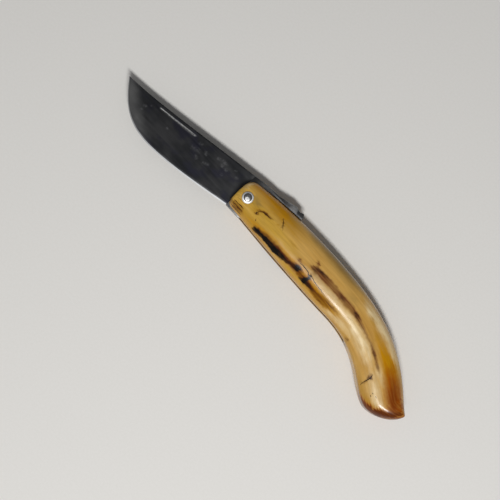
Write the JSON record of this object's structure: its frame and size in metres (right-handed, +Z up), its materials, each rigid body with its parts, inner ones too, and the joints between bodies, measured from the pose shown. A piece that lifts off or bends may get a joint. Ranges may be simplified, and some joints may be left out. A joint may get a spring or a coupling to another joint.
{
  "type": "folding whittling knife",
  "caption": "Folding whittling knife: curved horn handle with a drooping butt, and a drop-edged steel blade with a tail lever that turns on a riveted pivot and folds into the slotted belly.",
  "frame": {"origin": "middle of the open knife's outline, on the surface that it lies on", "axes": "+X from the blade's tip to the butt, +Y from the belly to the back, +Z up out of the cheek that carries the nail nick's side, along the rivet"},
  "size_m": [0.2001, 0.0416, 0.019],
  "materials": {
    "horn": "polished horn, cream and amber with dark streaks",
    "blade_steel": "dark patinated carbon steel with a bright edge",
    "rivet_steel": "peened bright",
    "washer_steel": "flat, lightly worn"
  },
  "bodies": {
    "handle": {"horn_handle": "horn", "pivot_rivet": "rivet_steel", "upper_washer": "washer_steel", "lower_washer": "washer_steel"},
    "blade": {"blade": "blade_steel"}
  },
  "joints": [
    {"name": "blade_fold", "type": "hinge", "parent": "handle", "child": "blade", "pos_m": [-0.02145, 0.00621, 0.0095], "axis": [0, 0, 1], "range_deg": [0, 171]}
  ]
}
